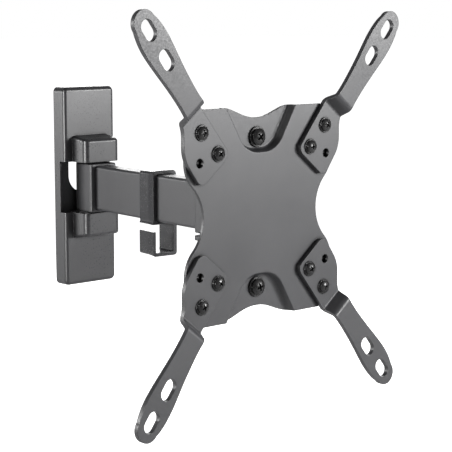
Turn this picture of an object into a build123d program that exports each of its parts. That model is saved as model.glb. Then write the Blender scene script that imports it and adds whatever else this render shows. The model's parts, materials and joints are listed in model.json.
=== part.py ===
from build123d import *
from math import cos, radians, sin, tan
import os

# Full motion wall mount for a small television: a wall plate with a plastic cover, one
# swivelling arm with a cable clip, a swivelling and tilting head, and a VESA plate with
# four screwed-on extension arms.  Millimetres.  The origin is the centre of the wall
# plate's back face, which lies on the wall (Y = 0); +Z is up and the television is at -Y.

# ---- driving dimensions -------------------------------------------------------------
sheet = 2.5                     # thickness of the pressed steel brackets
plate_sheet = 2.0               # thickness of the pressed VESA plate
running_gap = 0.05              # radial clearance of a shaft in a bore it turns in

plate_width, plate_height = 38.4, 130.8
wall_hole_pitch, wall_hole_r = 104.0, 3.5
cover_width, cover_height, cover_depth = 43.0, 136.4, 12.0
cover_wall, cover_corner_r, cover_rim_r = 1.8, 3.5, 2.7
rib_pitch, rib_length = 96.0, 9.0
notch_floor = 6.3               # how far the cover's side strip stands off the wall
bump_width, bump_front = 29.3, 26.4
bump_top, bump_draft, bump_flare = 32.9, 2.6, 0.6
bump_wall, bump_corner_r, bump_edge_r = 1.5, 4.0, 2.0

hinge_gap = 35.0                # between the two lugs of either hinge
lug_r = 11.5
wall_pivot_y = -13.2
pivot_bolt_r, pivot_hexagon, pivot_washer_r = 4.0, 13.0, 8.0    # M8 hardware
knuckle_r, knuckle_reach, knuckle_height, spigot = 10.4, 15.8, 33.0, 18.0
bush_r, bush_flange_r, bush_length = 5.5, 10.5, 12.0

arm_length = 149.9              # wall pivot to head pivot
arm_swing = 4.9                 # degrees the arm stands off square, towards -X
tube_width, tube_height, tube_wall = 13.0, 30.4, 1.5

clip_wall, clip_gap, clip_length = 1.7, 0.2, 16.5
clip_start, clip_fold = 71.8, 81.8      # from the wall pivot, along the arm
clip_draft, clip_flare = 1.2, 5.5       # degrees, either side of the fold
hook_bottom, hook_lip, hook_step = -37.3, -21.8, 0.4

head_depth = 37.4               # head pivot to the front of the extension arms' pads
tilt_offset = 20.3              # head pivot to tilt axis
tilt_bolt_r, tilt_hexagon, tilt_head, tilt_nut_height = 3.0, 10.0, 4.0, 6.0     # M6 hardware
ear_inner = 13.6                # inner face of each tilt ear
cheek_inner = 10.0              # inner face of each yoke cheek
cheek_r, ear_r, tilt_washer = 8.5, 8.0, 1.2
cheek_root, ear_root = 13.0, 24.0           # half heights where they join their webs
yoke_lug_half, yoke_lug_tail = 14.0, 13.0
bracket_end, bracket_window = 54.0, 12.0    # half heights of the tilt bracket and its opening

vesa_100, vesa_75 = 50.0, 37.5  # half spacings of the two hole squares
spare_hole_x, spare_hole_z, spare_hole_r = 51.3, 32.8, 1.65     # third holes, tapped M4
vesa_height, vesa_dip = 126.0, 56.4         # height at the shoulders, half height at the middle
shoulder_x, shoulder_mid, shoulder_drop = 28.0, (19.0, 61.2), 54.0
vesa_waist, vesa_side = 45.8, 48.8          # half widths at the waist and of the top edge
side_dip_r, side_lobe_r = 26.0, 21.0
recess_depth, recess_draft, recess_floor_z = 4.8, 1.5, 36.2
recess_half_width, recess_side_angle, recess_r = 28.0, 59.7, 17.0
recess_rim_r, recess_root_r = 0.7, 1.8
centre_screw_z, centre_screw_r, centre_head_r = 45.0, 3.0, 6.1

arm_plate = 3.0                 # thickness of the extension arms
arm_angle = 51.2                # direction of the extension arms, from horizontal
fold_step, tip_step = 7.2, 9.8  # how far the arms stand forward of their pads, at each end
arm_fold_r = 2.8
slot_width, slot_length = 8.4, 13.1
slot_places = (52.6, 73.2)      # slot centres from the pad's outer screw
pad_screw_r, pad_hole_r = 2.5, 2.75
pad_screw_length, plate_screw_length = 11.0, 13.0

# ---- derived places -----------------------------------------------------------------
lug_z = hinge_gap / 2
wall_pivot = Vector(0, wall_pivot_y, 0)
along = Vector(-sin(radians(arm_swing)), -cos(radians(arm_swing)), 0)
across = Vector(cos(radians(arm_swing)), -sin(radians(arm_swing)), 0)
head_pivot = wall_pivot + along * arm_length
pad_front = -head_depth         # these are measured from the head pivot
plate_front = pad_front + arm_plate
plate_back = plate_front + plate_sheet
floor_front = plate_front + recess_depth
floor_back = floor_front + plate_sheet

os.makedirs("parts", exist_ok=True)


def write(part, name):
    """Label a finished piece and write it as one STEP file."""
    part.label = name
    export_step(part, f"parts/{name}.step")


def arm_section(distance):
    """Plane across the arm: x is level, towards +X, y is up, the normal is along the arm."""
    return Plane(origin=wall_pivot + along * distance, x_dir=across, z_dir=along)


def arm_level(pivot, direction, z):
    """Level plane at a pivot, its x axis along the given direction."""
    return Plane(origin=pivot + Vector(0, 0, z), x_dir=direction, z_dir=(0, 0, 1))


def head_face(y):
    """Upright plane facing the television, y from the head pivot; its axes are X and Z."""
    return Plane(origin=head_pivot + Vector(0, y, 0), x_dir=(1, 0, 0), z_dir=(0, -1, 0))


def head_side(x):
    """Upright plane facing +X through the tilt axis; its axes are +Y and Z."""
    place = head_pivot + Vector(x, -tilt_offset, 0)
    return Plane(origin=place, x_dir=(0, 1, 0), z_dir=(1, 0, 0))


def head_level(z):
    return Plane(origin=head_pivot + Vector(0, 0, z))


# ---- wall plate and cover -----------------------------------------------------------
def tongue(lug_top):
    """Cut a round-ended tongue out of the wall plate and fold it forward at lug_top."""
    lug_reach = -wall_pivot_y + lug_r
    opening = lug_reach - sheet
    bottom = lug_top - sheet
    with BuildSketch(Plane.XZ.offset(-1)) as window:
        with Locations((0, bottom - (opening - lug_r) / 2)):
            Rectangle(2 * lug_r, opening - lug_r)
        with Locations((0, bottom - opening + lug_r)):
            Circle(lug_r)
    extrude(window.sketch, amount=sheet + 2, mode=Mode.SUBTRACT)
    with BuildSketch(Plane.XY.offset(bottom)) as lug:
        with Locations((0, wall_pivot_y / 2)):
            Rectangle(2 * lug_r, -wall_pivot_y)
        with Locations((0, wall_pivot_y)):
            Circle(lug_r)
            Circle(pivot_bolt_r + running_gap, mode=Mode.SUBTRACT)
    extrude(lug.sketch, amount=sheet)


with BuildPart() as wall_plate:
    with BuildSketch(Plane.XZ):
        RectangleRounded(plate_width, plate_height, 4)
    extrude(amount=sheet)
    tongue(lug_z + sheet)
    tongue(-lug_z)
    folds = wall_plate.edges().filter_by(Axis.X).filter_by(lambda e: abs(e.length - 2 * lug_r) < 0.01)
    outer_folds = folds.filter_by(lambda e: abs(e.center().Y) < 0.01)
    fillet(outer_folds, radius=2.0)
    with BuildSketch(Plane.XZ):
        with Locations((0, wall_hole_pitch / 2), (0, -wall_hole_pitch / 2)):
            Circle(wall_hole_r)
    extrude(amount=sheet, mode=Mode.SUBTRACT)
write(wall_plate.part, "wall_plate")


def bump(shrink, reach, low):
    """Hinge housing of the cover: lofted from its root to its narrower front, above low."""
    root, front = bump_top + bump_draft - shrink, bump_top - shrink
    sections = []
    for y, top, flare in ((-cover_depth + cover_wall, root, bump_flare), (-reach, front, 0)):
        with BuildSketch(Plane.XZ.offset(-y)) as section:
            with Locations((0, (top + low) / 2)):
                Rectangle(bump_width + 2 * flare - 2 * shrink, top - low)
        sections.append(section.sketch)
    loft(sections)


with BuildPart() as bump_outer:
    bump(0, bump_front, lug_z)
    fillet(bump_outer.edges().filter_by(Axis.Z).sort_by(Axis.Y)[:2], radius=bump_corner_r)
    bump_edges = bump_outer.edges().filter_by(lambda e: e.center().Z > bump_top - 0.1)
    fillet(bump_edges.filter_by(lambda e: e.center().Y < -cover_depth), radius=bump_edge_r)

with BuildPart() as bump_inner:
    bump(bump_wall, bump_front - bump_wall, lug_z - 1)
    fillet(bump_inner.edges().filter_by(Axis.Z).sort_by(Axis.Y)[:2], radius=bump_corner_r - bump_wall)

with BuildPart() as wall_cover:
    with BuildSketch(Plane.XZ):
        RectangleRounded(cover_width, cover_height, cover_corner_r)
    extrude(amount=cover_depth)
    fillet(wall_cover.faces().sort_by(Axis.Y)[0].edges(), radius=cover_rim_r)
    with BuildSketch(Plane.XZ):
        RectangleRounded(cover_width - 2 * cover_wall, cover_height - 2 * cover_wall,
                         cover_corner_r - cover_wall)
    extrude(amount=cover_depth - cover_wall, mode=Mode.SUBTRACT)
    add(bump_outer.part)
    add(mirror(bump_outer.part, about=Plane.XY, mode=Mode.PRIVATE))
    add(bump_inner.part, mode=Mode.SUBTRACT)
    add(mirror(bump_inner.part, about=Plane.XY, mode=Mode.PRIVATE), mode=Mode.SUBTRACT)
    # notch between the two housings, which lets the arm fold flat against the wall
    with BuildSketch(Plane.XZ.offset(notch_floor)):
        Rectangle(cover_width + 2, hinge_gap)
    extrude(amount=cover_depth, mode=Mode.SUBTRACT)
    # ribs that grip the edges of the wall plate
    rib = (cover_width - 2 * cover_wall - plate_width) / 2
    with BuildSketch(Plane.XZ):
        with GridLocations(plate_width + rib, rib_pitch, 2, 2):
            Rectangle(rib, rib_length)
    extrude(amount=sheet)
write(wall_cover.part, "wall_cover")


# ---- hinge hardware, the same at both ends of the arm -------------------------------
def hex_body(pivot, bottom, height, across_flats):
    """Add one hexagonal head or nut on the hinge axis."""
    with BuildSketch(arm_level(pivot, (1, 0, 0), bottom)) as hexagon:
        RegularPolygon(across_flats / 2, 6, major_radius=False)
    extrude(hexagon.sketch, amount=height)


def hinge_hardware(pivot, prefix):
    """Write the bolt, the nut, the washers and the flanged bushes of one hinge."""
    washer, head, nut = 1.6, 5.3, 8.0
    top = lug_z + sheet + washer
    with BuildPart() as bolt:
        hex_body(pivot, top, head, pivot_hexagon)
        with BuildSketch(arm_level(pivot, (1, 0, 0), top)) as shank:
            Circle(pivot_bolt_r)
        extrude(shank.sketch, amount=-(2 * top + nut + 1))
        chamfer(bolt.faces().sort_by(Axis.Z)[0].edges(), length=0.6)
    write(bolt.part, f"{prefix}_pivot_bolt")
    with BuildPart() as lock_nut:
        hex_body(pivot, -top - nut, nut, pivot_hexagon)
        with BuildSketch(arm_level(pivot, (1, 0, 0), -top - nut)) as bore:
            Circle(pivot_bolt_r)
        extrude(bore.sketch, amount=nut, mode=Mode.SUBTRACT)
    write(lock_nut.part, f"{prefix}_pivot_nut")
    with BuildPart() as washers:
        for low in (lug_z + sheet, -lug_z - sheet - washer):
            with BuildSketch(arm_level(pivot, (1, 0, 0), low)) as ring:
                Circle(pivot_washer_r)
                Circle(pivot_bolt_r + running_gap, mode=Mode.SUBTRACT)
            extrude(ring.sketch, amount=washer)
    write(washers.part, f"{prefix}_pivot_washers")
    with BuildPart() as bushes:
        for side in (1, -1):
            face = arm_level(pivot, (1, 0, 0), side * knuckle_height / 2)
            with BuildSketch(face) as flange:
                Circle(bush_flange_r)
                Circle(pivot_bolt_r + running_gap, mode=Mode.SUBTRACT)
            extrude(flange.sketch, amount=side * (lug_z - knuckle_height / 2 - running_gap))
            with BuildSketch(face) as sleeve:
                Circle(bush_r)
                Circle(pivot_bolt_r + running_gap, mode=Mode.SUBTRACT)
            extrude(sleeve.sketch, amount=-side * bush_length)
    write(bushes.part, f"{prefix}_hinge_bushes")


hinge_hardware(wall_pivot, "wall")
hinge_hardware(head_pivot, "head")


# ---- arm: tube, end knuckles and cable clip -----------------------------------------
with BuildPart() as arm_tube:
    with BuildSketch(arm_section(knuckle_reach)):
        RectangleRounded(tube_width, tube_height, 2)
        RectangleRounded(tube_width - 2 * tube_wall, tube_height - 2 * tube_wall, 0.6,
                         mode=Mode.SUBTRACT)
    extrude(amount=arm_length - 2 * knuckle_reach)
write(arm_tube.part, "arm_tube")


def knuckle(pivot, direction, name):
    """Cast end block of the arm: round about the pivot, with a spigot inside the tube."""
    with BuildPart() as block:
        with BuildSketch(arm_level(pivot, direction, -knuckle_height / 2)) as plan:
            Circle(knuckle_r)
            with Locations((knuckle_reach / 2, 0)):
                Rectangle(knuckle_reach, 2 * knuckle_r)
        extrude(plan.sketch, amount=knuckle_height)
        front = block.edges().filter_by(Axis.Z)
        front = front.filter_by(lambda e: (e.center() - pivot).dot(direction) > 1)
        fillet(front, radius=1.8)
        ends = block.faces().filter_by(Axis.Z).edges()
        fillet(ends, radius=0.9)
        end_plane = Plane(origin=pivot + direction * knuckle_reach,
                          x_dir=direction.cross(Vector(0, 0, 1)), z_dir=direction)
        with BuildSketch(end_plane) as tail:
            RectangleRounded(tube_width - 2 * tube_wall, tube_height - 2 * tube_wall, 0.6)
        extrude(tail.sketch, amount=spigot)
        with BuildSketch(arm_level(pivot, direction, -knuckle_height / 2)) as bore:
            Circle(bush_r)
        extrude(bore.sketch, amount=knuckle_height, mode=Mode.SUBTRACT)
    write(block.part, name)


knuckle(wall_pivot, along, "wall_knuckle")
knuckle(head_pivot, along * -1, "head_knuckle")

with BuildPart() as cable_clip:
    loop_half = tube_width / 2 + clip_gap + clip_wall
    loop_top = tube_height / 2 + clip_gap + clip_wall
    hook_half, hook_top = loop_half + hook_step, -loop_top
    with BuildSketch(arm_section(clip_fold)) as clip_outline:
        RectangleRounded(2 * loop_half, 2 * loop_top, 2.2)
        with Locations((0, (hook_top + hook_bottom + clip_wall) / 2)):
            RectangleRounded(2 * hook_half, hook_top + clip_wall - hook_bottom, 1.5)
    # the walls narrow towards the wall plate and flare towards the head
    extrude(clip_outline.sketch, amount=clip_start - clip_fold, taper=clip_draft)
    extrude(clip_outline.sketch, amount=clip_start + clip_length - clip_fold, taper=-clip_flare)
    with BuildSketch(arm_section(clip_start - 1)) as clip_windows:
        # the tube's way through, the hook's inside, and its mouth on the near side
        RectangleRounded(tube_width + 2 * clip_gap, tube_height + 2 * clip_gap, 1.8)
        with Locations((0, (hook_top + hook_bottom + clip_wall) / 2)):
            RectangleRounded(2 * (hook_half - clip_wall), hook_top - hook_bottom - clip_wall, 0.9)
        with Locations((-loop_half, (hook_top + hook_lip) / 2)):
            Rectangle(3 * clip_wall, hook_top - hook_lip)
    extrude(clip_windows.sketch, amount=clip_length + 2, mode=Mode.SUBTRACT)
write(cable_clip.part, "cable_clip")


# ---- head: yoke that swivels on the arm ---------------------------------------------
web_back = -knuckle_r - 1.0
web_front = web_back - sheet

with BuildPart() as head_yoke:
    for bottom in (lug_z, -lug_z - sheet):
        with BuildSketch(head_level(bottom)) as lug:
            with Locations((0, (yoke_lug_tail + web_front) / 2)):
                Rectangle(2 * yoke_lug_half, yoke_lug_tail - web_front)
            fillet(lug.vertices().group_by(Axis.Y)[-1], radius=5)
            fillet(lug.vertices().group_by(Axis.Y)[0], radius=2)
            Circle(pivot_bolt_r + running_gap, mode=Mode.SUBTRACT)
        extrude(amount=sheet)
    web_half = cheek_inner + sheet
    with BuildSketch(head_face(web_back)):
        Rectangle(2 * web_half, hinge_gap + 2 * sheet)
    extrude(amount=sheet)
    for x in (-web_half, cheek_inner):
        with BuildSketch(head_side(x)) as cheek:
            root = tilt_offset + web_front + 0.5
            Circle(cheek_r)
            with BuildLine():
                Polyline((root, cheek_root), (root, -cheek_root), (0, -cheek_r), (0, cheek_r),
                         close=True)
            make_face()
            Circle(tilt_bolt_r + running_gap, mode=Mode.SUBTRACT)
        extrude(amount=sheet)
write(head_yoke.part, "head_yoke")


# ---- tilt joint: bracket, bolt, nut, spacer and friction washers --------------------
bracket_half = ear_inner + sheet

with BuildPart() as tilt_bracket:
    with BuildSketch(head_face(floor_back + sheet)) as web:
        Rectangle(2 * bracket_half, 2 * bracket_end)
        fillet(web.vertices(), radius=5)
        Rectangle(2 * ear_inner, 2 * bracket_window, mode=Mode.SUBTRACT)
        with Locations((0, centre_screw_z), (0, -centre_screw_z)):
            Circle(centre_screw_r + 0.2, mode=Mode.SUBTRACT)
    extrude(amount=sheet)
    for x in (-bracket_half, ear_inner):
        with BuildSketch(head_side(x)) as ear:
            root = tilt_offset + floor_back
            Circle(ear_r)
            with BuildLine():
                Polyline((root, ear_root), (root, -ear_root), (root + 5, 2 - ear_root), (0, -ear_r),
                         (0, ear_r), (root + 5, ear_root - 2), close=True)
            make_face()
            Circle(tilt_bolt_r + running_gap, mode=Mode.SUBTRACT)
        extrude(amount=sheet)
write(tilt_bracket.part, "tilt_bracket")


def tilt_disc(x, thickness, radius, bore):
    """Add a ring on the tilt axis, from x outwards along +X."""
    with BuildSketch(head_side(x)) as ring:
        Circle(radius)
        Circle(bore, mode=Mode.SUBTRACT)
    extrude(ring.sketch, amount=thickness)


with BuildPart() as tilt_bolt:
    bolt_end = bracket_half + running_gap + tilt_washer
    with BuildSketch(head_side(-bolt_end)):
        RegularPolygon(tilt_hexagon / 2, 6, major_radius=False)
    extrude(amount=-tilt_head)
    with BuildSketch(head_side(-bolt_end)):
        Circle(tilt_bolt_r)
    extrude(amount=2 * bolt_end + tilt_nut_height + 1)
    chamfer(tilt_bolt.faces().sort_by(Axis.X)[-1].edges(), length=0.5)
write(tilt_bolt.part, "tilt_bolt")

with BuildPart() as tilt_nut:
    with BuildSketch(head_side(bolt_end)):
        RegularPolygon(tilt_hexagon / 2, 6, major_radius=False)
        Circle(tilt_bolt_r, mode=Mode.SUBTRACT)
    extrude(amount=tilt_nut_height)
write(tilt_nut.part, "tilt_nut")

with BuildPart() as tilt_washers:
    for x in (-bolt_end, bolt_end - tilt_washer):
        tilt_disc(x, tilt_washer, 6.5, tilt_bolt_r + running_gap)
write(tilt_washers.part, "tilt_washers")

friction_pad = ear_inner - web_half - running_gap
with BuildPart() as tilt_friction_washers:
    for x in (-web_half - friction_pad, web_half):
        tilt_disc(x, friction_pad, 7.5, tilt_bolt_r + running_gap)
write(tilt_friction_washers.part, "tilt_friction_washers")

with BuildPart() as tilt_spacer:
    tilt_disc(-cheek_inner, 2 * cheek_inner, 5, tilt_bolt_r + running_gap)
write(tilt_spacer.part, "tilt_spacer")


# ---- VESA plate ---------------------------------------------------------------------
corners = [(-1, -1), (-1, 1), (1, -1), (1, 1)]
arm_screw_places = [(sx * half, sz * half) for sx, sz in corners for half in (vesa_100, vesa_75)]
spare_places = [(sx * spare_hole_x, sz * spare_hole_z) for sx, sz in corners]


def plate_outline(y, amount):
    """Add a slab with the plate's outline, from y forwards."""
    top = vesa_height / 2
    slant = sin(radians(45))
    centre_x = vesa_waist + side_dip_r
    dip_end = (centre_x - side_dip_r * slant, side_dip_r * slant)
    lobe_x = dip_end[0] + side_lobe_r * (1 - slant)
    lobe_z = dip_end[1] + side_lobe_r * slant
    lobe_mid = (lobe_x - side_lobe_r * (1 - cos(radians(22.5))),
                lobe_z - side_lobe_r * sin(radians(22.5)))
    with BuildSketch(head_face(y)) as face:
        with BuildLine():
            Spline((0, vesa_dip), shoulder_mid, (shoulder_x, top), tangents=((1, 0), (1, 0)))
            Polyline((shoulder_x, top), (vesa_side, top), (lobe_x, shoulder_drop), (lobe_x, lobe_z))
            ThreePointArc((lobe_x, lobe_z), lobe_mid, dip_end)
            ThreePointArc(dip_end, (centre_x - side_dip_r * cos(radians(22.5)),
                                    side_dip_r * sin(radians(22.5))), (vesa_waist, 0))
            Polyline((vesa_waist, 0), (0, 0), (0, vesa_dip))
        make_face()
        mirror(about=Plane.YZ)
        mirror(about=Plane.XZ)
    return extrude(face.sketch, amount=amount, mode=Mode.PRIVATE)


def recess_outline(y, grow):
    """Outline of the top recess, a round-bottomed V open at the top, opened out by grow."""
    lean = tan(radians(recess_side_angle))
    side_shift = grow / sin(radians(recess_side_angle))
    floor, top = recess_floor_z - grow, vesa_height / 2 + 6
    half_at = {z: recess_half_width + side_shift - (vesa_height / 2 - z) / lean
               for z in (floor, top)}
    with BuildSketch(head_face(y)) as outline:
        with BuildLine():
            Polyline((half_at[top], top), (half_at[floor], floor), (-half_at[floor], floor),
                     (-half_at[top], top), close=True)
        make_face()
        fillet(outline.vertices().group_by(Axis.Y)[0], radius=recess_r + grow)
    return outline.sketch


def on_level(y):
    """Selector of the edges that lie level at y from the head pivot."""
    place = head_pivot.Y + y
    return lambda e: abs(e.center().Y - place) < 0.01 and e.bounding_box().size.Y < 0.01


def on_rim(edge):
    """Whether an edge of the plate's face belongs to the rim of a recess."""
    middle = edge @ 0.5
    return abs(middle.X) < recess_half_width and abs(middle.Z) < vesa_dip


# the pressed dish of one recess and the hollow in it
dish_shift = plate_sheet - recess_draft * plate_sheet / recess_depth
with BuildPart() as recess_dish:
    loft([recess_outline(plate_back, dish_shift),
          recess_outline(floor_back, dish_shift - recess_draft)])
    add(plate_outline(floor_back, floor_back - plate_front), mode=Mode.INTERSECT)

with BuildPart() as recess_hollow:
    loft([recess_outline(plate_front, 0), recess_outline(floor_front, -recess_draft)])
    root_edges = recess_hollow.edges().filter_by(on_level(floor_front))
    fillet(root_edges.sort_by(Axis.Z)[:-1], radius=recess_root_r)
    # flat seat for the screw's head
    with BuildSketch(head_face(floor_front)) as seat:
        with Locations((0, centre_screw_z)):
            Circle(centre_head_r + 0.1)
    extrude(seat.sketch, amount=recess_root_r)

with BuildPart() as vesa_plate:
    add(plate_outline(plate_back, plate_sheet))
    add(recess_dish.part)
    add(mirror(recess_dish.part, about=Plane.XY, mode=Mode.PRIVATE))
    add(recess_hollow.part, mode=Mode.SUBTRACT)
    add(mirror(recess_hollow.part, about=Plane.XY, mode=Mode.PRIVATE), mode=Mode.SUBTRACT)
    level_edges = vesa_plate.edges().filter_by(on_level(plate_front))
    fillet(level_edges.filter_by(on_rim), radius=recess_rim_r)
    with BuildSketch(head_face(plate_front)):
        with Locations(*arm_screw_places):
            Circle(pad_hole_r)
        with Locations(*spare_places):
            Circle(spare_hole_r)
    extrude(amount=-plate_sheet, mode=Mode.SUBTRACT)
    with BuildSketch(head_face(floor_front)):
        with Locations((0, centre_screw_z), (0, -centre_screw_z)):
            Circle(centre_screw_r + 0.2)
    extrude(amount=-plate_sheet, mode=Mode.SUBTRACT)
write(vesa_plate.part, "vesa_plate")


# ---- extension arms -----------------------------------------------------------------
pad_near, pad_far = -24.8, 12.5         # ends of the pad along the arm
pad_edge, pad_skirt = 8.6, -19.6        # its two long edges
ramp_start, ramp_end = 13.1, 16.9       # where the arm folds forward
blade_axis, blade_end = 0.8, 85.4
tip_start, tip_half = 77.8, 7.6
# edges of the blade, as places along it and distances from its axis
edge_above = ((60, 9.3), (46, 7.9), (28, 6.8))
edge_below = ((24, -7.6), (46, -8.8), (60, -9.9))


def corner_place(x, z):
    """A place on the head's face in the arm's own axes, from the pad's outer screw."""
    dx, dz = x - vesa_100, z - vesa_100
    return (dx * cos(arm_turn) + dz * sin(arm_turn), dz * cos(arm_turn) - dx * sin(arm_turn))


with BuildPart() as arm_pattern:
    # the arm of the top right corner, which the other three mirror
    arm_turn = radians(arm_angle)
    u_axis = Vector(cos(arm_turn), 0, sin(arm_turn))
    v_axis = Vector(-sin(arm_turn), 0, cos(arm_turn))
    outer_screw = head_pivot + Vector(vesa_100, pad_front, vesa_100)
    middle = arm_plate / 2
    with BuildSketch(Plane(origin=outer_screw - v_axis * 30, x_dir=u_axis, z_dir=v_axis)):
        with BuildLine() as fold:
            FilletPolyline((pad_near, middle), (ramp_start, middle),
                           (ramp_end, middle - fold_step), (blade_end, middle - tip_step),
                           radius=arm_fold_r)
        trace(line_width=arm_plate)
    extrude(amount=60)
    with BuildSketch(Plane(origin=outer_screw, x_dir=u_axis, z_dir=(0, -1, 0))) as arm_outline:
        with BuildLine():
            Polyline((pad_far, pad_edge), (pad_near, pad_edge), (pad_near, pad_skirt),
                     (pad_near + 6, pad_skirt), (-8, pad_skirt + 0.6))
            Spline((-8, pad_skirt + 0.6), (2, -14.9), (pad_far - 1, -8.4),
                   tangents=((1, 0.1), (1, 0.35)))
            Spline((pad_far - 1, -8.4), *[(u, blade_axis + v) for u, v in edge_below],
                   (tip_start, blade_axis - tip_half), tangents=((1, 0.35), (1, 0.35)))
            ThreePointArc((tip_start, blade_axis - tip_half), (blade_end, blade_axis),
                          (tip_start, blade_axis + tip_half))
            Spline((tip_start, blade_axis + tip_half), *[(u, blade_axis + v) for u, v in edge_above],
                   (pad_far, pad_edge), tangents=((-1, 0.35), (-1, 0.15)))
        make_face()
        fillet(arm_outline.vertices().group_by(Axis.X)[0], radius=4.8)
        with Locations(*[(u, blade_axis) for u in slot_places]):
            SlotOverall(slot_length, slot_width, mode=Mode.SUBTRACT)
        with Locations((0, 0), corner_place(vesa_75, vesa_75), corner_place(spare_hole_x, spare_hole_z)):
            Circle(pad_hole_r, mode=Mode.SUBTRACT)
    extrude(amount=20, both=True, mode=Mode.INTERSECT)

for name, flip_x, flip_z in (("arm_top_right", False, False), ("arm_top_left", True, False),
                             ("arm_bottom_right", False, True), ("arm_bottom_left", True, True)):
    with BuildPart() as extension_arm:
        add(arm_pattern.part)
        if flip_x:
            mirror(about=Plane(origin=head_pivot, z_dir=(1, 0, 0)), mode=Mode.REPLACE)
        if flip_z:
            mirror(about=Plane.XY, mode=Mode.REPLACE)
    write(extension_arm.part, name)


# ---- screws and nuts of the head ----------------------------------------------------
def pan_screw(x, z, face_y, head_r, head_height, shank_r, length, turn):
    """Add one flanged, domed cross-head screw that stands on face_y and points at the wall."""
    foot = head_pivot + Vector(x, face_y, z)
    flange, dome_r, shoulder = head_height * 0.3, head_r * 0.82, head_height * 0.62
    with BuildSketch(Plane(origin=foot, x_dir=(1, 0, 0), z_dir=(0, 0, -1))) as profile:
        with BuildLine():
            Polyline((0, head_height), (0, 0), (head_r, 0), (head_r, flange - 0.2),
                     (head_r - 0.2, flange), (dome_r, flange), (dome_r, shoulder))
            TangentArc((0, head_height), (dome_r, shoulder), tangent=(1, 0))
        make_face()
    head = revolve(profile.sketch, axis=Axis(foot, (0, -1, 0)), mode=Mode.PRIVATE)
    with BuildSketch(head_face(face_y - head_height)) as cross:
        with Locations((x, z)):
            Rectangle(head_r * 0.86, head_r * 0.22, rotation=turn)
            Rectangle(head_r * 0.22, head_r * 0.86, rotation=turn)
    recess = extrude(cross.sketch, amount=-head_height * 0.6, taper=8, mode=Mode.PRIVATE)
    add(head - recess)
    with BuildSketch(head_face(face_y)) as shank:
        with Locations((x, z)):
            Circle(shank_r)
    extrude(shank.sketch, amount=-length)


def hex_nut(x, z, face_y, height, across_flats, bore_r):
    """Add one hexagonal nut that lies against face_y, on its wall side."""
    with BuildSketch(head_face(face_y)) as hexagon:
        with Locations((x, z)):
            RegularPolygon(across_flats / 2, 6, major_radius=False)
            Circle(bore_r, mode=Mode.SUBTRACT)
    extrude(hexagon.sketch, amount=-height)


with BuildPart() as arm_screws:
    for index, (x, z) in enumerate(arm_screw_places):
        pan_screw(x, z, pad_front, 4.7, 2.9, pad_screw_r, pad_screw_length, 20 + 37 * index)
write(arm_screws.part, "arm_screws")

with BuildPart() as arm_nuts:
    for x, z in arm_screw_places:
        hex_nut(x, z, plate_back, 4, 8, pad_screw_r)
write(arm_nuts.part, "arm_nuts")

with BuildPart() as plate_screws:
    for z, turn in ((centre_screw_z, 40), (-centre_screw_z, 15)):
        pan_screw(0, z, floor_front, centre_head_r, 4.2, centre_screw_r, plate_screw_length, turn)
write(plate_screws.part, "plate_screws")

with BuildPart() as plate_nuts:
    for z in (centre_screw_z, -centre_screw_z):
        hex_nut(0, z, floor_back + sheet, 5, 10, centre_screw_r)
write(plate_nuts.part, "plate_nuts")
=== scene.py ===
import bpy
import json
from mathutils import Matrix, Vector

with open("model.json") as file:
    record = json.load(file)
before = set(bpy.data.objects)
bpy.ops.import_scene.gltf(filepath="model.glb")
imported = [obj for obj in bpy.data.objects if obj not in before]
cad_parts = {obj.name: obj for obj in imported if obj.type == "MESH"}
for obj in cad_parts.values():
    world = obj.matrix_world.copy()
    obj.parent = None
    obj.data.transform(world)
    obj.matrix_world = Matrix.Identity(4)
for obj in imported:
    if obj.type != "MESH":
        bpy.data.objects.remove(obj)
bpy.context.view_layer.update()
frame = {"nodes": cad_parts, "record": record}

# Lengths are in metres unless a comment says otherwise, and noise scales are per metre.

# ---- camera: where the photograph was taken from ------------------------------------
FOCAL_PIXELS, FRAME_PIXELS = 1438.4, 452
SENSOR = 36.0                   # millimetres
NEAREST = 0.01
EYE = Vector((-0.5980, -0.8077, 0.1112))
TARGET = Vector((-0.04380, -0.19955, -0.00471))


def aim(obj, target):
    """Turn an object so that its -Z axis points at target, with its Y axis up."""
    obj.rotation_euler = (Vector(target) - obj.location).to_track_quat("-Z", "Y").to_euler()


camera_data = bpy.data.cameras.new("camera")
camera_data.lens = FOCAL_PIXELS / FRAME_PIXELS * SENSOR
camera_data.sensor_width = SENSOR
camera_data.clip_start = NEAREST
camera = bpy.data.objects.new("camera", camera_data)
camera.location = EYE
aim(camera, TARGET)
bpy.context.collection.objects.link(camera)
bpy.context.scene.camera = camera


# ---- node helpers -------------------------------------------------------------------
MIX_FIRST, MIX_SECOND, MIX_RESULT = 6, 7, 2     # the Mix node's colour sockets
NOISE_BODY = (0.3, 0.7)         # the noise values that most of a surface has
NOISE_CORE = (0.35, 0.65)       # fewer of them, for patches with clearer borders
EDGE_FACING = (0.75, 0.99)      # rounded normal against flat normal: on an edge, off it
OPENNESS = (0.25, 0.85)         # ambient occlusion: in a corner, in the open


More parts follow.
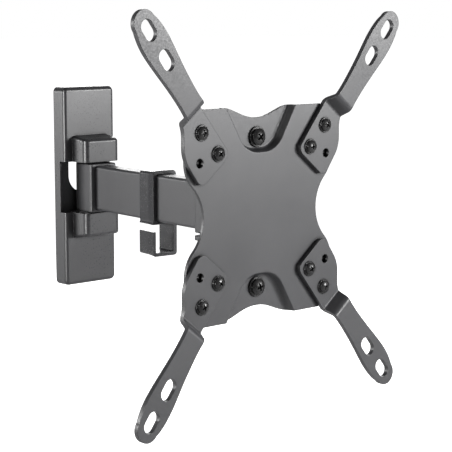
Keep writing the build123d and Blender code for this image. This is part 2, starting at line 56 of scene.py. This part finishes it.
class Graph:
    """Builds one material's node tree."""

    def __init__(self, name):
        self.material = bpy.data.materials.new(name)
        self.material.use_nodes = True
        self.tree = self.material.node_tree
        self.shader = self.tree.nodes["Principled BSDF"]
        self.place = self.node("ShaderNodeTexCoord").outputs["Object"]

    def node(self, kind, **settings):
        made = self.tree.nodes.new(kind)
        for key, value in settings.items():
            setattr(made, key, value)
        return made

    def link(self, source, target):
        self.tree.links.new(source, target)

    def noise(self, scale, detail=2.0, roughness=0.5):
        made = self.node("ShaderNodeTexNoise")
        made.inputs["Scale"].default_value = scale
        made.inputs["Detail"].default_value = detail
        made.inputs["Roughness"].default_value = roughness
        self.link(self.place, made.inputs["Vector"])
        return made.outputs["Fac"]

    def spread(self, value, low, high, from_low=0.0, from_high=1.0):
        """Map a value from the range from_low to from_high onto the range low to high."""
        made = self.node("ShaderNodeMapRange")
        made.inputs["From Min"].default_value = from_low
        made.inputs["From Max"].default_value = from_high
        made.inputs["To Min"].default_value = low
        made.inputs["To Max"].default_value = high
        self.link(value, made.inputs["Value"])
        return made.outputs["Result"]

    def math(self, operation, first, second):
        made = self.node("ShaderNodeMath", operation=operation)
        for socket, value in zip(made.inputs, (first, second)):
            if isinstance(value, (int, float)):
                socket.default_value = value
            else:
                self.link(value, socket)
        return made.outputs["Value"]

    def mix(self, factor, first, second, blend="MIX"):
        made = self.node("ShaderNodeMix", data_type="RGBA", blend_type=blend)
        for socket, value in ((made.inputs["Factor"], factor),
                              (made.inputs[MIX_FIRST], first),
                              (made.inputs[MIX_SECOND], second)):
            if isinstance(value, (int, float, tuple)):
                socket.default_value = value
            else:
                self.link(value, socket)
        return made.outputs[MIX_RESULT]

    def rounded(self, radius):
        """Normal with the sharp edges rounded off by radius, and a mask of those edges."""
        bevel = self.node("ShaderNodeBevel", samples=6)
        bevel.inputs["Radius"].default_value = radius
        facing = self.node("ShaderNodeVectorMath", operation="DOT_PRODUCT")
        self.link(bevel.outputs["Normal"], facing.inputs[0])
        self.link(self.node("ShaderNodeNewGeometry").outputs["Normal"], facing.inputs[1])
        return bevel.outputs["Normal"], self.spread(facing.outputs["Value"], 1, 0, *EDGE_FACING)

    def bump(self, height, distance, strength, normal):
        made = self.node("ShaderNodeBump")
        made.inputs["Distance"].default_value = distance
        made.inputs["Strength"].default_value = strength
        self.link(height, made.inputs["Height"])
        self.link(normal, made.inputs["Normal"])
        return made.outputs["Normal"]

    def painted_corner_shade(self, distance, darkest, open_value=1.0):
        """Painted shade from ambient occlusion: open_value on open faces, falling to darkest in a
        corner.
        """
        made = self.node("ShaderNodeAmbientOcclusion", samples=8)
        made.inputs["Distance"].default_value = distance
        return self.spread(made.outputs["AO"], darkest, open_value, *OPENNESS)


def grey(value, blue=1.07):
    return (value, value, value * blue, 1)


# ---- coated steel and moulded plastic -----------------------------------------------
CLOUD_SCALE, CLOUD_TONES = 38, (0.93, 1.07)             # slow changes of tone
RUB_AND_HIGHLIGHT_SCALE, RUB_AND_HIGHLIGHT_AMOUNTS = 220, (0.2, 1)                  # how far an edge is lightened, by rubbed wear and painted highlight
SMEAR_SCALE, SMEAR_ROUGHNESS = 24, (-0.03, 0.04)        # slow changes of gloss
WAVE_SCALE, WAVE_DEPTH, WAVE_STRENGTH = 110, 0.0002, 0.12       # the paint's slight waviness
GRAIN_STRENGTH = 0.6
SHADE_REACH, CREVICE_SHADE = 0.006, 0.18                # painted shade: colour in a corner, against the open
# painted shade in the reflections: the specular level falls from OPEN_GLOSS to CREVICE_GLOSS in
# corners
GLOSS_REACH, CREVICE_GLOSS, OPEN_GLOSS = 0.004, 0.02, 0.5


def coating(name, tone, roughness, grain_scale, grain_depth, edge_radius, edge_wear_and_highlight_tone, speckle):
    """Painted steel or moulded plastic: fine grain, uneven gloss, lighter edges of rubbed wear
    and painted highlight, painted shade in corners.
    """
    g = Graph(name)
    normal, edge = g.rounded(edge_radius)
    cloud = g.spread(g.noise(CLOUD_SCALE, 3), *CLOUD_TONES, *NOISE_BODY)
    grains = g.spread(g.noise(grain_scale * 1.6, 2, 0.6), 1 - speckle, 1 + speckle, *NOISE_BODY)
    # tone and grain times painted shade: the colour darkens in corners and between parts
    shade = g.math("MULTIPLY", g.math("MULTIPLY", cloud, grains),
                   g.painted_corner_shade(SHADE_REACH, CREVICE_SHADE))
    # painted shade in the reflections: less specular in corners and between parts
    g.link(g.painted_corner_shade(GLOSS_REACH, CREVICE_GLOSS, OPEN_GLOSS),
           g.shader.inputs["Specular IOR Level"])
    # lighter edges: partly rubbed wear, partly a painted highlight along the edges
    rubbed_and_highlit = g.math("MULTIPLY", edge, g.spread(g.noise(RUB_AND_HIGHLIGHT_SCALE, 4), *RUB_AND_HIGHLIGHT_AMOUNTS, *NOISE_CORE))
    paint = g.mix(rubbed_and_highlit, grey(tone), grey(edge_wear_and_highlight_tone, 1.0))
    g.link(g.mix(1.0, paint, shade, "MULTIPLY"), g.shader.inputs["Base Color"])
    gloss = g.spread(g.noise(grain_scale * 0.5, 3), roughness - 0.06, roughness + 0.07,
                     *NOISE_BODY)
    smear = g.spread(g.noise(SMEAR_SCALE, 2), *SMEAR_ROUGHNESS, *NOISE_BODY)
    g.link(g.math("ADD", gloss, smear), g.shader.inputs["Roughness"])
    fine = g.bump(g.noise(grain_scale, 3, 0.6), grain_depth, GRAIN_STRENGTH, normal)
    g.link(g.bump(g.noise(WAVE_SCALE, 2), WAVE_DEPTH, WAVE_STRENGTH, fine),
           g.shader.inputs["Normal"])
    return g.material


# ---- screw and bolt steel -----------------------------------------------------------
STEEL_EDGE = 0.0002             # radius its edges are rounded by
MARK_DEPTH, MARK_STRENGTH = 0.00002, 0.5                # turning marks
OXIDE_BLUE, OXIDE_BROWN = (0.012, 0.012, 0.013, 1), (0.022, 0.021, 0.021, 1)
OXIDE_EDGE, OXIDE_WEAR = (0.16, 0.16, 0.165, 1), 0.5    # bare steel, and how much of it shows
OXIDE_ROUGHNESS = (0.2, 0.36)


def bright_steel(name, tone, roughness):
    """Plated steel with turning marks."""
    g = Graph(name)
    normal, edge = g.rounded(STEEL_EDGE)
    stain = g.spread(g.noise(300, 3), 0.8, 1.05, *NOISE_BODY)
    paint = g.mix(edge, grey(tone, 1.02), grey(tone * 1.25, 1.0))
    g.link(g.mix(1.0, paint, stain, "MULTIPLY"), g.shader.inputs["Base Color"])
    g.link(g.spread(g.noise(900, 3), roughness - 0.06, roughness + 0.1),
           g.shader.inputs["Roughness"])
    g.link(g.bump(g.noise(2400, 2), MARK_DEPTH, MARK_STRENGTH, normal), g.shader.inputs["Normal"])
    g.shader.inputs["Metallic"].default_value = 1.0
    return g.material


def black_oxide(name):
    """Blackened screw steel: dark, smooth and glossy, a little brown where it is thin."""
    g = Graph(name)
    normal, edge = g.rounded(STEEL_EDGE)
    patch = g.spread(g.noise(500, 3), 0, 1, *NOISE_CORE)
    dark = g.mix(patch, OXIDE_BLUE, OXIDE_BROWN)
    g.link(g.mix(g.math("MULTIPLY", edge, OXIDE_WEAR), dark, OXIDE_EDGE),
           g.shader.inputs["Base Color"])
    g.link(g.spread(g.noise(1500, 3), *OXIDE_ROUGHNESS), g.shader.inputs["Roughness"])
    g.link(g.bump(g.noise(2200, 2), MARK_DEPTH, MARK_STRENGTH, normal), g.shader.inputs["Normal"])
    g.shader.inputs["Specular IOR Level"].default_value = 0.5
    return g.material


COATINGS = (
    # name, tone, roughness, grain scale, grain depth, edge radius, edge tone (rubbed wear and
    # painted highlight), speckle
    ("powder_coat", 0.07, 0.38, 1900, 0.000012, 0.0005, 0.1, 0.03),
    ("cover_plastic", 0.055, 0.32, 1500, 0.00001, 0.0004, 0.08, 0.03),
    ("clip_plastic", 0.065, 0.24, 2200, 0.000008, 0.0004, 0.08, 0.02),
    ("black_nylon", 0.02, 0.5, 1500, 0.00003, 0.0003, 0.04, 0.05),
)
MATERIALS = {row[0]: coating(*row) for row in COATINGS}
MATERIALS["black_screw"] = black_oxide("black_screw")
MATERIALS["zinc"] = bright_steel("zinc", tone=0.55, roughness=0.34)

for subpart in frame["record"]["subparts"]:
    for slot in frame["nodes"][subpart["node"]].material_slots:
        slot.material = MATERIALS[subpart["material_slot"]]


# ---- floor, lights and surroundings -------------------------------------------------
FLOOR_HEIGHT, FLOOR_HALF = -0.3, 30
FLOOR_GLOW = 1.05               # seen by the camera only, so it doesn't light the object
WHITE = (1, 1, 1, 1)
AMBIENT, BACKGROUND = 0.12, 1.0         # the world's light on the object, and as seen
LIGHTS = (
    # name, place, target, width and height, watts, whether it gives diffuse light
    ("front_right", (0.8, -1.25, 0.17), (0, -0.2, 0), (0.6, 0.14), 15.5, True),
    ("rear_left", (-0.9, 0.75, 0.17), (0, -0.1, 0), (0.6, 0.25), 7.5, True),
    ("rear_left_low", (-0.9, 0.75, -0.1), (0, -0.1, 0), (0.6, 0.25), 1.5, True),
    ("backdrop", (0.9, 1.1, 0.35), (0, -0.1, 0), (1.4, 0.6), 12, True),
    ("card", (-1.05, -0.42, 0.2), (0, -0.05, 0), (0.35, 0.8), 26, False),
)


def stage_floor(height, half):
    """Large level floor under the object."""
    mesh = bpy.data.meshes.new("floor")
    corners = [(x * half, y * half, height) for x, y in ((-1, -1), (1, -1), (1, 1), (-1, 1))]
    mesh.from_pydata(corners, [], [(0, 1, 2, 3)])
    floor = bpy.data.objects.new("floor", mesh)
    bpy.context.collection.objects.link(floor)
    g = Graph("floor_paint")
    g.link(g.mix(g.noise(3, 2), (0.86, 0.86, 0.86, 1), (0.9, 0.9, 0.9, 1)),
           g.shader.inputs["Base Color"])
    g.shader.inputs["Roughness"].default_value = 0.9
    g.shader.inputs["Specular IOR Level"].default_value = 0.1
    g.shader.inputs["Emission Color"].default_value = WHITE
    g.link(g.spread(g.node("ShaderNodeLightPath").outputs["Is Camera Ray"], 0, FLOOR_GLOW),
           g.shader.inputs["Emission Strength"])
    mesh.materials.append(g.material)


def softbox(name, place, target, size, power, diffuse):
    """Rectangular lamp; one without diffuse light only adds its reflection, as a card does."""
    data = bpy.data.lights.new(name, "AREA")
    data.shape = "RECTANGLE"
    data.size, data.size_y = size
    data.energy = power
    lamp = bpy.data.objects.new(name, data)
    lamp.location = place
    lamp.visible_camera = False
    lamp.visible_diffuse = diffuse
    aim(lamp, target)
    bpy.context.collection.objects.link(lamp)


stage_floor(FLOOR_HEIGHT, FLOOR_HALF)
for light in LIGHTS:
    softbox(*light)

world = bpy.data.worlds.new("studio")
world.use_nodes = True
bpy.context.scene.world = world
nodes, links = world.node_tree.nodes, world.node_tree.links
background = nodes["Background"]
background.inputs["Color"].default_value = WHITE
seen = nodes.new("ShaderNodeLightPath")
level = nodes.new("ShaderNodeMapRange")
level.inputs["To Min"].default_value = AMBIENT
level.inputs["To Max"].default_value = BACKGROUND
links.new(seen.outputs["Is Camera Ray"], level.inputs["Value"])
links.new(level.outputs["Result"], background.inputs["Strength"])

scene = bpy.context.scene
scene.view_settings.view_transform = "Standard"
scene.view_settings.look = "None"
